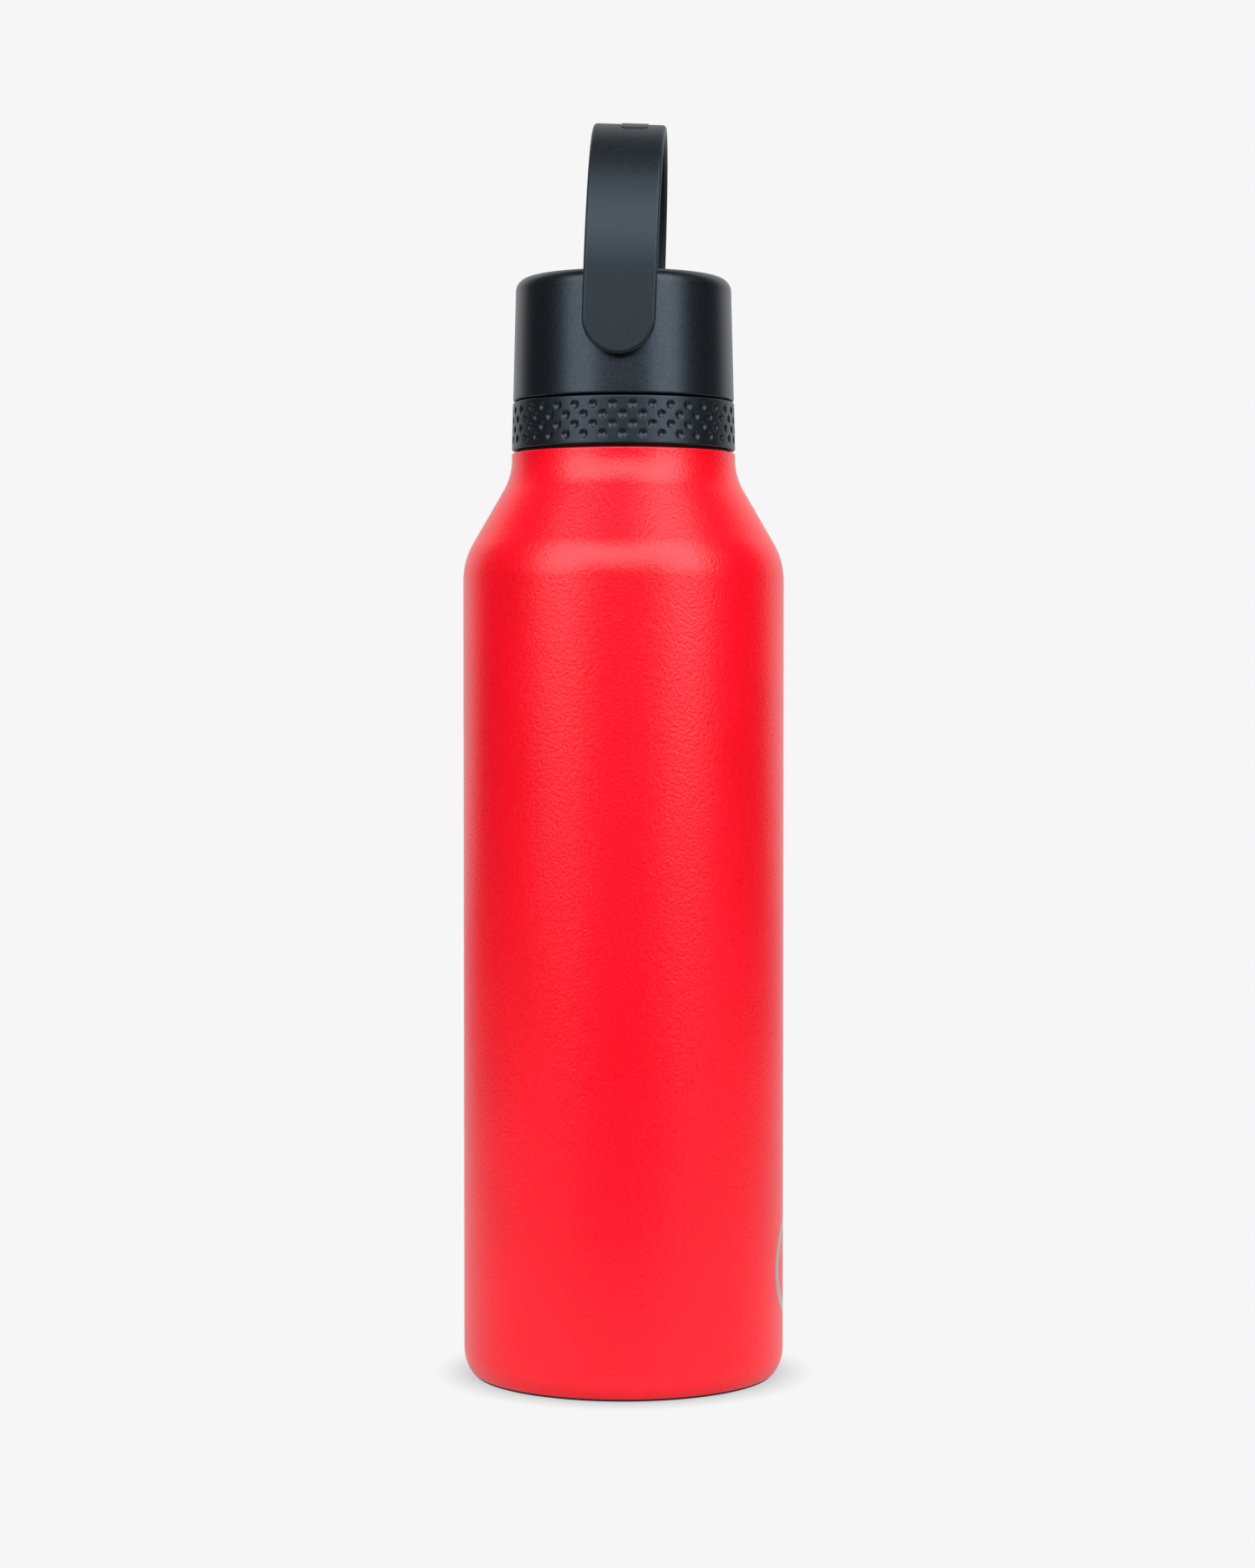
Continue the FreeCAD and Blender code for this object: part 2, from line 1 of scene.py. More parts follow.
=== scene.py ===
# %% [markdown]
# # An insulated water bottle
# A steel vacuum bottle in red powder coat, with a black two-part screw lid and a strap handle.
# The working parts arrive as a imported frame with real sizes. This lesson dresses them: it turns
# the visible pieces afresh as fine meshes, gives every part its real material, and lights the
# bottle like a catalogue picture. Sizes are in millimetres and one factor makes them metres.
# Only the studio is set out in metres from the start.

# %% load the frame
import math
import bpy
import bmesh
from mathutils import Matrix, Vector


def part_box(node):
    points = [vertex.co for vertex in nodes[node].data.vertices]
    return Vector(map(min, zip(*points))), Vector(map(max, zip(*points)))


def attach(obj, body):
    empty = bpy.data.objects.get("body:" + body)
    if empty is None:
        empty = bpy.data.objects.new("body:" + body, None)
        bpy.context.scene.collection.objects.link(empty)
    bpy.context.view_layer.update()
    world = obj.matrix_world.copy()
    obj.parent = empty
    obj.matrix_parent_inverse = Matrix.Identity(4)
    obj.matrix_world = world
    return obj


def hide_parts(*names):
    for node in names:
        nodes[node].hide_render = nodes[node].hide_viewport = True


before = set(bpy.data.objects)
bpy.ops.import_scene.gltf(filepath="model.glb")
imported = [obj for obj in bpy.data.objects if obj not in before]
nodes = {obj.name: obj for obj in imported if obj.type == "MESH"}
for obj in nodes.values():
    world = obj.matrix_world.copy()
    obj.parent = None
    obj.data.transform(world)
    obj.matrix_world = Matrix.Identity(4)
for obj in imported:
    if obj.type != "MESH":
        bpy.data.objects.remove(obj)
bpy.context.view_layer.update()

MM = 0.001

# %% [markdown]
# ## Reading sizes from the frame
# The frame already knows how wide and tall each part is. Reading those numbers back means that
# a dressed piece always lands where the working part is, and only the small touches, such as
# an edge's roundness, are set here.


# %% sizes of a node
def size_of(node):
    """Lowest z, highest z and half widths along x and y of a frame node, in millimetres."""
    low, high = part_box(node)
    return low.z / MM, high.z / MM, high.x / MM, high.y / MM


_, rim_z, body_r, _ = size_of("outer_shell")
band_z, band_top_z, neck_r, _ = size_of("grip_band")
cap_z, cap_top_z, cap_r, _ = size_of("cap_shell")
_, apex_z, _, strap_out_y = size_of("handle_strap")
_, foot_top_z, foot_r, _ = size_of("foot_pad")
print(f"body {2 * body_r:.1f} across, rim at {rim_z:.1f}, cap to {cap_top_z:.1f}, strap to {apex_z:.1f}")

# %% [markdown]
# ## Helpers for turned parts
# Nearly everything on a bottle is round, because it is spun, drawn or moulded about one axis.
# A Screw modifier could do that too. Turning the outline in code keeps the points exact and
# lets one function close the mesh, round or not at the axis.


# %% turning an outline into a mesh
HOLD = 0.08             # how far the close points lie from a corner
LONG = 0.8              # a straight stretch longer than this gets them
SEGMENTS = 240          # sides of a turned part
SHARP = 40              # an edge that folds by more degrees than this is drawn sharp


def arc(centre, radius, start, end, steps=12):
    """Points on a circle in the (r, z) plane, from one angle to another in degrees."""
    turns = [math.radians(start + (end - start) * i / steps) for i in range(steps + 1)]
    return [(centre[0] + radius * math.cos(t), centre[1] + radius * math.sin(t)) for t in turns]


def finish_mesh(name, points, faces, sharp_above=SHARP):
    """Object from points in millimetres, with doubles merged, faces outwards and shading set."""
    mesh = bpy.data.meshes.new(name)
    mesh.from_pydata([Vector(p) * MM for p in points], [], faces)
    work = bmesh.new()
    work.from_mesh(mesh)
    bmesh.ops.remove_doubles(work, verts=work.verts, dist=1e-7)
    bmesh.ops.dissolve_degenerate(work, edges=work.edges, dist=1e-8)
    bmesh.ops.recalc_face_normals(work, faces=work.faces)
    work.to_mesh(mesh)
    work.free()
    mesh.shade_smooth()
    mesh.set_sharp_from_angle(angle=math.radians(sharp_above))
    piece = bpy.data.objects.new(name, mesh)
    bpy.context.scene.collection.objects.link(piece)
    return piece


def held(outline):
    """The same outline with a point close to each end of its long straight stretches.

    Smooth shading averages the faces at a corner. The close points keep that to a hair's width,
    so that a straight wall stays straight in its highlights.
    """
    points = []
    for a, b in zip(outline, outline[1:] + outline[:1]):
        points.append(a)
        length = math.dist(a, b)
        if length > LONG:
            for share in (HOLD / length, 1 - HOLD / length):
                points.append((a[0] + (b[0] - a[0]) * share, a[1] + (b[1] - a[1]) * share))
    return points


def turn(name, outline, segments=SEGMENTS):
    """Closed outline of (r, z) points, turned about the bottle's axis."""
    outline = held(outline)
    points = []
    for i in range(segments):
        a = 2 * math.pi * i / segments
        points += [(r * math.cos(a), r * math.sin(a), z) for r, z in outline]
    count = len(outline)
    faces = []
    for i in range(segments):
        here, there = i * count, (i + 1) % segments * count
        for j in range(count):
            k = (j + 1) % count
            faces.append((here + j, there + j, there + k, here + k))
    return finish_mesh(name, points, faces)


print("turned parts have", SEGMENTS, "sides unless they say otherwise")

# %% [markdown]
# ## The outer wall
# The real wall is a steel tube, drawn in at the shoulder and neck and curled under at the base.
# The shoulder is a cone between two arcs that meet it without a kink, so its highlight flows.
# A lathe outline with true arcs shows this best: a subdivided cage would drift off the size.

# %% outer wall
WALL = 0.7              # steel with its coat
NECK_STRAIGHT = 1.2     # short upright stretch under the rim
NECK_ARC = 14.4         # radius of the curve from the neck into the cone
SHOULDER_ARC = 17.0     # radius of the curve from the cone into the side
CONE = 30               # degrees between the cone and the axis
BASE_ARC = 9.0          # radius of the curve under the side
BASE_ARC_Z = 6.0        # height at which that curve starts
LAND = 3.6              # ring that the wall turns in to at the base
RIM_ROUND = 0.3         # rounded top edge of the coat


def wall_side(inset):
    """Points of the wall's side from the rim down to the land, moved inwards by an inset."""
    neck_c = (neck_r + NECK_ARC, rim_z - NECK_STRAIGHT)
    tilt = math.radians(CONE)
    cone_top_r = neck_c[0] - NECK_ARC * math.cos(tilt)
    cone_low_r = body_r - SHOULDER_ARC * (1 - math.cos(tilt))
    fall = (cone_low_r - cone_top_r) / math.tan(tilt)
    arcs_drop = (NECK_ARC + SHOULDER_ARC) * math.sin(tilt)
    wall_c = (body_r - SHOULDER_ARC, neck_c[1] - arcs_drop - fall)
    base_c = (body_r - BASE_ARC, BASE_ARC_Z)
    side = arc(neck_c, NECK_ARC + inset, 180, 180 + CONE, 20)
    side += arc(wall_c, SHOULDER_ARC - inset, CONE, 0, 24)
    turn_in = -math.degrees(math.asin((BASE_ARC_Z - foot_top_z - inset) / (BASE_ARC - inset)))
    side += arc(base_c, BASE_ARC - inset, 0, turn_in, 16)
    return side


outside = wall_side(0)
inside = wall_side(WALL)
land_r = outside[-1][0] - LAND
rim = arc((neck_r - RIM_ROUND, rim_z - RIM_ROUND), RIM_ROUND, 90, 0, 5)
outline = [(neck_r - WALL, rim_z)] + rim + outside + [(land_r, foot_top_z)]
outline += [(land_r, foot_top_z + WALL)] + inside[::-1]
wall = turn("powder_coated_wall", outline)
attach(wall, "bottle")
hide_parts("outer_shell")
print("outer wall:", len(wall.data.vertices), "points")

# %% [markdown]
# ## The foot
# A thin disc of silicone keeps the steel off the table. It shows only as a dark line, so its
# edge is rounded by less than its thickness, which leaves the line crisp.

# %% foot
FOOT_ROUND = 0.2        # radius of its lower edge
foot_outline = [(0, 0)] + arc((foot_r - FOOT_ROUND, FOOT_ROUND), FOOT_ROUND, -90, 0, 4)
foot_outline += [(foot_r, foot_top_z), (0, foot_top_z)]
foot = turn("silicone_foot", foot_outline)
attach(foot, "bottle")
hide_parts("foot_pad")
print("foot:", round(2 * foot_r, 1), "mm across")

# %% [markdown]
# ## The gasket under the collar
# Between the red neck and the dimpled band lies a soft ring, set back so that it reads as a
# dark groove. Its edges are half round, as moulded silicone is.

# %% collar gasket
gasket_z, gasket_top_z, gasket_r, _ = size_of("collar_gasket")
GASKET_INNER = 21.7     # inside radius
GASKET_SEGMENTS = 160   # it is hidden but for its edge, so it needs fewer sides
half_thick = (gasket_top_z - gasket_z) / 2
gasket_mid = (gasket_z + gasket_top_z) / 2
gasket_outline = arc((gasket_r - half_thick, gasket_mid), half_thick, -90, 90, 8)
gasket_outline += arc((GASKET_INNER + half_thick, gasket_mid), half_thick, 90, 270, 8)
gasket = turn("collar_seal_ring", gasket_outline, GASKET_SEGMENTS)
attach(gasket, "collar_seal")
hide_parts("collar_gasket")
print("gasket:", round(gasket_r, 1), "mm radius")

# %% [markdown]
# ## The dimpled grip band
# The band is moulded with four rows of small round dimples, each row shifted by half a step,
# so that wet fingers can turn it. A bump map would look flat at the outline, and cutting 144
# balls with booleans leaves ragged faces. A fine grid pushed inwards where a dimple lies is
# clean, closed and just as real.

# %% grip band
DIMPLES = 36            # in each row
ROWS = 4
FIRST_ROW = 2.25        # above the band's lower edge
ROW_PITCH = 2.17        # from one row to the next
DIMPLE_R = 0.82
DIMPLE_DEPTH = 0.4
BOWL_POWER = 0.8        # under 1 makes the dimple's floor flatter
BOWL_FADE = 0.25        # share of the bowl over which its rim softens
LIP = 0.18              # width over which a dimple's rim is rounded
BAND_TAPER = 0.25       # its radius is this much less at the top
BAND_INNER = 24.1       # inside radius
BAND_EDGE = 0.35        # rounded upper and lower edge
AROUND = 864            # grid steps round the band
UP = 72                 # grid steps up the band
DIMPLE_SHIFT = 1.9      # degrees that the band is turned from the strap's plane


def dimple_depth(angle, z):
    """How far the band's surface lies in at a place on it, from the nearest dimple."""
    deepest = 0.0
    for row in range(ROWS):
        dz = z - (band_z + FIRST_ROW + ROW_PITCH * row)
        if abs(dz) > DIMPLE_R + LIP:
            continue
        step = 2 * math.pi / DIMPLES
        first = -math.pi / 2 + math.radians(DIMPLE_SHIFT) + step / 2 * (row % 2)
        off = (angle - first + step / 2) % step - step / 2
        reach = math.hypot(off * neck_r, dz)
        if reach < DIMPLE_R + LIP:
            bowl = max(0.0, 1 - (reach / (DIMPLE_R + LIP)) ** 2)
            deepest = max(deepest, DIMPLE_DEPTH * bowl ** BOWL_POWER * min(1.0, bowl / BOWL_FADE))
    return deepest


def band_outline():
    """Outer side of the band from bottom to top, with rounded edges, as (inset, z) points."""
    low = arc((BAND_EDGE, band_z + BAND_EDGE), BAND_EDGE, 270, 180, 4)
    high = arc((BAND_EDGE, band_top_z - BAND_EDGE), BAND_EDGE, 180, 90, 4)
    span = band_top_z - band_z - 2 * BAND_EDGE
    middle = [(0, band_z + BAND_EDGE + span * i / UP) for i in range(1, UP)]
    return low + middle + high


band_side = band_outline()
ring_count = len(band_side) + 2
points = []
for i in range(AROUND):
    angle = 2 * math.pi * i / AROUND
    column = [(BAND_INNER, band_top_z), (BAND_INNER, band_z)]
    for inset, z in band_side:
        taper = BAND_TAPER * (z - band_z) / (band_top_z - band_z)
        column.append((neck_r - taper - inset - dimple_depth(angle, z), z))
    points += [(r * math.cos(angle), r * math.sin(angle), z) for r, z in column]
faces = []
for i in range(AROUND):
    here, there = i * ring_count, (i + 1) % AROUND * ring_count
    for j in range(ring_count):
        k = (j + 1) % ring_count
        faces.append((here + j, there + j, there + k, here + k))
band = finish_mesh("dimpled_band", points, faces)
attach(band, "collar")
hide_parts("grip_band")
print("band:", DIMPLES * ROWS, "dimples,", len(points), "points")

# %% [markdown]
# ## The cap's outer shell
# The cap is moulded with a little draft, so it is narrower at the top, and its top edge rolls
# over. It is turned like the wall. Two round holes then take the pivot bushes: a boolean is the
# right tool for those, because each is one clean cut and is hidden by the strap.

# %% cap shell
CAP_WALL = 1.8
CAP_ROOF = 2.0          # thickness of the roof
CAP_DRAFT = 0.7         # its radius is this much less at the top
CAP_EDGE = 3.0          # radius of the rolled top edge
CAP_FOOT_ROUND = 0.35   # radius of the lower edge
cap_h = cap_top_z - cap_z
cap_top_r = cap_r - CAP_DRAFT
lean = math.degrees(math.atan(CAP_DRAFT / cap_h))
edge_c = (cap_top_r - CAP_EDGE + CAP_EDGE * CAP_DRAFT / cap_h, cap_top_z - CAP_EDGE)
roof_z = cap_top_z - CAP_ROOF
bevel_r = cap_r - CAP_WALL - CAP_DRAFT * (roof_z - CAP_WALL - cap_z) / cap_h
cap_outline = arc((cap_r - CAP_FOOT_ROUND, cap_z + CAP_FOOT_ROUND), CAP_FOOT_ROUND, -90, 0, 5)
cap_outline += arc(edge_c, CAP_EDGE, lean, 90, 16) + [(0, cap_top_z), (0, roof_z)]
cap_outline += [(bevel_r - CAP_WALL, roof_z), (bevel_r, roof_z - CAP_WALL)]
cap_outline += [(cap_r - CAP_WALL, cap_z)]
cap = turn("cap_shell_moulding", cap_outline)
print("cap:", round(cap_h, 1), "mm tall")


# %% holes for the bushes
BUSH_R = 3.25           # radius of the hole for the bush's barrel
BUSH_FLANGE = 0.8       # thickness of the bush's flange, which is let into the wall
CUT_FROM, CUT_TO = 10, 40  # the cutters reach through the wall between these distances


def rod(name, radius, y0, y1, z, segments=64):
    """Solid round rod along y, used as a cutter."""
    ring = [(radius * math.cos(2 * math.pi * i / segments),
             radius * math.sin(2 * math.pi * i / segments)) for i in range(segments)]
    points = [(x, y0, z + h) for x, h in ring] + [(x, y1, z + h) for x, h in ring]
    faces = [tuple(range(segments)), tuple(range(segments, 2 * segments))]
    faces += [(i, (i + 1) % segments, segments + (i + 1) % segments, segments + i)
              for i in range(segments)]
    return finish_mesh(name, points, faces)


def cut(piece, cutter):
    """Takes the cutter's shape out of a piece and deletes the cutter."""
    step = piece.modifiers.new("cut", "BOOLEAN")
    step.operation = "DIFFERENCE"
    step.solver = "EXACT"
    step.object = cutter
    bpy.context.view_layer.update()
    seen = piece.evaluated_get(bpy.context.evaluated_depsgraph_get())
    made = bpy.data.meshes.new_from_object(seen)
    piece.modifiers.clear()
    piece.data = made
    bpy.data.objects.remove(cutter)


flange_low, flange_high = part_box("pivot_bush_back")
pivot_z = (flange_low.z + flange_high.z) / 2 / MM
bush_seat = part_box("friction_washer_back")[0].y / MM - BUSH_FLANGE
for way in (-1, 1):
    ends = sorted((way * CUT_FROM, way * CUT_TO))
    cut(cap, rod("bush_hole", BUSH_R, ends[0], ends[1], pivot_z))
    ends = sorted((way * bush_seat, way * CUT_TO))
    cut(cap, rod("bush_seat", flange_high.x / MM, ends[0], ends[1], pivot_z))
cap.data.set_sharp_from_angle(angle=math.radians(SHARP))
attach(cap, "cap")
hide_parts("cap_shell")
print("pivot at", round(pivot_z, 1), "mm; cap points:", len(cap.data.vertices))

# %% [markdown]
# ## The strap handle
# The strap is a flat moulding with round ends and soft edges, bent over the cap. Its legs end in
# a gentle curve before the round top, so the arch is a little pointed. It is drawn flat first, as
# loops of one long rounded outline that step round the edge, and then every point is laid on the
# bent middle layer. Drawing it flat keeps the edge's roundness even at the ends, which a swept
# section would pinch.

# %% strap
STRAP = 2.2             # thickness
STRAP_EDGE = 0.8        # radius of its edges
LEAN = math.radians(2.1)  # the strap stands this far off upright, towards +x
STRAP_WIDE = 16.3
STRAP_STEPS = 110       # steps along the strap
EDGE_STEPS = 6          # steps round its edge
STRIP_SHARP = 35        # degrees of fold above which a strip's edge is drawn sharp
LEAST_CORNER = 0.02     # a corner is never drawn tighter than this
LOOP = 46.2             # top of the strap above the pivot
SIDE_R = 50.0           # outside radius of the gentle curve above each leg
SIDE_TURN = math.radians(24)  # angle that this curve turns through
TOP_TURN = math.pi / 2 - SIDE_TURN
strap_half = STRAP_WIDE / 2
strap_mid = strap_out_y - STRAP / 2
top_r = (strap_out_y - SIDE_R * (1 - math.cos(SIDE_TURN))) / math.cos(SIDE_TURN)
top_z = pivot_z + LOOP - top_r
side_z = top_z - (SIDE_R - top_r) * math.sin(SIDE_TURN)
top_mid, side_mid = top_r - STRAP / 2, SIDE_R - STRAP / 2
top_run, side_run = TOP_TURN * top_mid, SIDE_TURN * side_mid
half_run = top_run + side_run + side_z - pivot_z


def swung(x, y, z):
    """Place on the upright strap, swung about the pivot to where the strap stands."""
    up = z - pivot_z
    aside = x * math.cos(LEAN) + up * math.sin(LEAN)
    return aside, y, pivot_z + up * math.cos(LEAN) - x * math.sin(LEAN)


def on_arch(s, x, out):
    """Place on the strap: s along it from the top, x across it, out from its middle layer."""
    way = 1 if s > 0 else -1
    along = abs(s)
    if along < top_run:
        turned = along / top_mid
        radius = top_mid + out
        return swung(x, way * radius * math.sin(turned), top_z + radius * math.cos(turned))
    if along < top_run + side_run:
        turned = TOP_TURN + (along - top_run) / side_mid
        radius = side_mid + out
        y = strap_out_y - SIDE_R + radius * math.sin(turned)
        return swung(x, way * y, side_z + radius * math.cos(turned))
    return swung(x, way * (strap_mid + out), side_z - (along - top_run - side_run))


def long_loop(inset, half_width, half_length, corner, steps, ends=14):
    """One side of a rounded long outline, from end to end, as (s, x) points."""
    w = half_width - inset
    r = max(corner - inset, LEAST_CORNER)
    right = [(-half_length + half_length * 2 * i / steps, w) for i in range(steps + 1)]
    tip = [(half_length + r * math.sin(math.pi / 2 * i / ends),
            w - r + r * math.cos(math.pi / 2 * i / ends)) for i in range(1, ends + 1)]
    tail = [(-s, x) for s, x in tip[::-1]]
    return tail + right + tip


def bent_strip(name, half_width, half_length, corner, edge, bottom, top, steps,
               both=True, aside=0):
    """Long rounded strip between two layers, laid on the arch.

    Its upper edge is round, and its lower edge too where both are asked for.
    """
    folds = [math.pi / 2 * i / EDGE_STEPS for i in range(EDGE_STEPS + 1)]
    layers = [(edge - edge * math.sin(t), top - edge + edge * math.cos(t)) for t in folds]
    if both:
        layers += [(x, bottom + top - h) for x, h in layers[::-1]]
    else:
        layers.append((0, bottom))
    reach = 1 - HOLD / half_width
    rows = [1, reach, reach / 2, 0, -reach / 2, -reach, -1]
    points = []
    faces = []
    sides = [long_loop(inset, half_width, half_length, corner, steps) for inset, _ in layers]
    count = len(sides[0])
    for side, (_, h) in zip(sides, layers):
        loop = side + [(s, -x) for s, x in side[::-1]]
        points += [on_arch(s, x + aside, h) for s, x in loop]
    size = 2 * count
    for layer in range(len(layers) - 1):
        for i in range(size):
            j = (i + 1) % size
            a = layer * size
            faces.append((a + i, a + j, a + size + j, a + size + i))
    for layer in (0, len(layers) - 1):
        side, h = sides[layer], layers[layer][1]
        first = len(points)
        for s, x in side:
            points += [on_arch(s, x * k + aside, h) for k in rows]
        for i in range(count - 1):
            for k in range(len(rows) - 1):
                a = first + i * len(rows) + k
                faces.append((a, a + 1, a + len(rows) + 1, a + len(rows)))
    return finish_mesh(name, points, faces, STRIP_SHARP)


strap = bent_strip("carry_strap", strap_half, half_run, strap_half, STRAP_EDGE,
                   -STRAP / 2, STRAP / 2, STRAP_STEPS)
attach(strap, "handle")
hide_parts("handle_strap")
print("strap:", round(2 * (half_run + strap_half)), "mm long when flat")

# %% [markdown]
# ## The pad on the strap
# A small plain pad is raised on the top of the strap, where a finger hooks under it. It uses
# the same strip function, with a small corner and a lower edge that is left square.

# %% pad
PAD_WIDE = 6.0
PAD_PROUD = 0.2         # above the strap's face
PAD_ASIDE = 1.2         # from the strap's middle
PAD_CORNER = 1.2        # radius of its corners
PAD_ROOT = 0.3          # depth that it is set into the strap
PAD_STEPS = 24          # steps along it
pad_half = PAD_WIDE / 2
pad_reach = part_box("handle_pad")[1].y / MM
pad_run = math.asin(pad_reach / (top_r + PAD_PROUD)) * top_mid
pad = bent_strip("strap_pad", pad_half, pad_run - PAD_CORNER, PAD_CORNER, PAD_PROUD,
                 STRAP / 2 - PAD_ROOT, STRAP / 2 + PAD_PROUD, PAD_STEPS,
                 both=False, aside=PAD_ASIDE)
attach(pad, "handle")
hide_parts("handle_pad")
print("pad:", round(2 * pad_half, 1), "mm wide")

# %% [markdown]
# ## Colour and node helpers
# Paint makers give colours as sRGB hex values, and a shader wants linear light, so one function
# turns one into the other. A second adds a node, sets it and links it, which keeps each material
# below short enough to read.


# %% colour and node helpers
def linear(hex_colour):
    """sRGB hex, such as "#d4141f", to a linear colour with alpha."""
    colour = []
    for i in (1, 3, 5):
        v = int(hex_colour[i:i + 2], 16) / 255
        colour.append(v / 12.92 if v <= 0.04045 else ((v + 0.055) / 1.055) ** 2.4)
    return tuple(colour) + (1,)


def add(tree, kind, inputs=None, **settings):
    """Adds a node, applies its settings, and fills or links its inputs by name or number."""
    made = tree.nodes.new(kind)
    for key, value in settings.items():
        setattr(made, key, value)
    for key, value in (inputs or {}).items():
        if isinstance(value, bpy.types.NodeSocket):
            tree.links.new(value, made.inputs[key])
        else:
            made.inputs[key].default_value = value
    return made


def new_material(name):
    """Empty material: its tree, its shader and its coordinates in metres of the object."""
    made = bpy.data.materials.new(name)
    made.use_nodes = True
    tree = made.node_tree
    tree.nodes.clear()
    shader = add(tree, "ShaderNodeBsdfPrincipled")
    add(tree, "ShaderNodeOutputMaterial", {"Surface": shader.outputs[0]})
    place = add(tree, "ShaderNodeTexCoord").outputs["Object"]
    return made, tree, shader, place


def per_metre(size_mm):
    """Texture scale at which one feature is that many millimetres wide."""
    return 1 / (size_mm * MM)


print("mid grey is", round(linear("#808080")[0], 3), "in linear light")

# %% [markdown]
# ## Red powder coat
# Powder coat is dry paint, sprayed on charged steel and baked. It melts into a tough matt skin
# with a fine pebbled grain, so highlights are wide and a little sparkly. The colour is even,
# and the grain is only some tenths of a millimetre across. A plain ring is etched through the
# coat near the foot, down to the steel. A second mesh could lie there, but the laser takes no
# more than a hair's depth away, so a change of finish inside the same material is closer.

# %% etched ring
RING_Z = 25.1           # middle of the ring above the floor
RING_R = 9.8            # radius of the middle of its line
RING_LINE = 2.6         # width of its line
RING_FADE = 0.15        # width over which the coat's edge fades
BARE_STEEL = "#bcb6b0"


def etched_ring(tree, place):
    """Socket that is 1 on the ring's line, on the +x side, and 0 on the coat."""
    flat = add(tree, "ShaderNodeVectorMath", {0: place, 1: (0, 1, 1)}, operation="MULTIPLY")
    away = add(tree, "ShaderNodeVectorMath", {
        0: flat.outputs[0], 1: (0, 0, RING_Z * MM)}, operation="DISTANCE")
    off = add(tree, "ShaderNodeMath", {
        0: away.outputs["Value"], 1: RING_R * MM}, operation="SUBTRACT")
    size = add(tree, "ShaderNodeMath", {0: off.outputs[0]}, operation="ABSOLUTE")
    line = add(tree, "ShaderNodeMapRange", {
        "Value": size.outputs[0], "From Min": (RING_LINE / 2 - RING_FADE) * MM,
        "From Max": RING_LINE / 2 * MM, "To Min": 1.0, "To Max": 0.0})
    x = add(tree, "ShaderNodeSeparateXYZ", {0: place}).outputs["X"]
    side = add(tree, "ShaderNodeMath", {0: x, 1: 0.0}, operation="GREATER_THAN")
    both = add(tree, "ShaderNodeMath", {
        0: line.outputs[0], 1: side.outputs[0]}, operation="MULTIPLY")
    return both.outputs[0]


print("ring:", 2 * RING_R, "mm across")

# %% powder coat
GRAIN = 0.7             # real grain is near 0.3 mm: drawn coarser so that it shows
CLOUD = 30              # size of the slow, faint changes of tone
COAT_RED = "#fd0423"
COAT_DEEP = "#f0021b"   # where the tone is deepest
TONE_LOW, TONE_HIGH = 0.1, 0.4  # part of the blended grain over which the tone changes
COAT_SMOOTH, COAT_ROUGH = 0.27, 0.35
COAT_BUMP = 0.2         # height of the grain
COAT_IOR = 1.47
GRAIN_LOW, GRAIN_HIGH = 0.3, 0.7  # the part of a noise texture's range that holds most of it


def powder_coat():
    """Red coat with a pebbled grain, bare steel on the ring."""
    made, tree, shader, place = new_material("powder_coat_red")
    grain = add(tree, "ShaderNodeTexNoise", {
        "Vector": place, "Scale": per_metre(GRAIN), "Detail": 2.0, "Roughness": 0.6})
    cloud = add(tree, "ShaderNodeTexNoise", {
        "Vector": place, "Scale": per_metre(CLOUD), "Detail": 1.0})
    blend = add(tree, "ShaderNodeMath", {
        0: grain.outputs[0], 1: cloud.outputs[0]}, operation="MULTIPLY")
    tone = add(tree, "ShaderNodeMapRange", {
        "Value": blend.outputs[0], "From Min": TONE_LOW, "From Max": TONE_HIGH})
    colour = add(tree, "ShaderNodeMix", {
        "Factor": tone.outputs[0], 6: linear(COAT_DEEP), 7: linear(COAT_RED)}, data_type="RGBA")
    gloss = add(tree, "ShaderNodeMapRange", {
        "Value": grain.outputs[0], "From Min": GRAIN_LOW, "From Max": GRAIN_HIGH,
        "To Min": COAT_SMOOTH, "To Max": COAT_ROUGH})
    bump = add(tree, "ShaderNodeBump", {
        "Height": grain.outputs[0], "Strength": 0.5, "Distance": COAT_BUMP * MM})
    bare = etched_ring(tree, place)
    dressed = add(tree, "ShaderNodeMix", {
        "Factor": bare, 6: colour.outputs[2], 7: linear(BARE_STEEL)}, data_type="RGBA")
    tree.links.new(dressed.outputs[2], shader.inputs["Base Color"])
    tree.links.new(bare, shader.inputs["Metallic"])
    tree.links.new(gloss.outputs[0], shader.inputs["Roughness"])
    tree.links.new(bump.outputs[0], shader.inputs["Normal"])
    shader.inputs["IOR"].default_value = COAT_IOR
    return made


coat = powder_coat()
print("coat grain:", GRAIN, "mm")

# %% [markdown]
# ## Black mouldings
# The lid is polypropylene, moulded in a sparked tool that leaves a fine even texture. The
# texture breaks the reflection into a soft satin band. The cap's roof has a coarser texture than
# its side, so that it doesn't glare when it is seen from above. The strap is a tougher nylon blend
# and the grip band the same plastic as the cap, so one function makes them all.

# %% moulded plastic
ROOF_ROUGH = 0.85       # roughness of the cap's flat roof
ROOF_FADE = 0.35        # height over which the side's texture turns into the roof's
ROUGH_SPREAD = 0.04     # the grain moves the roughness up and down by this much
PLASTIC_IOR = 1.53


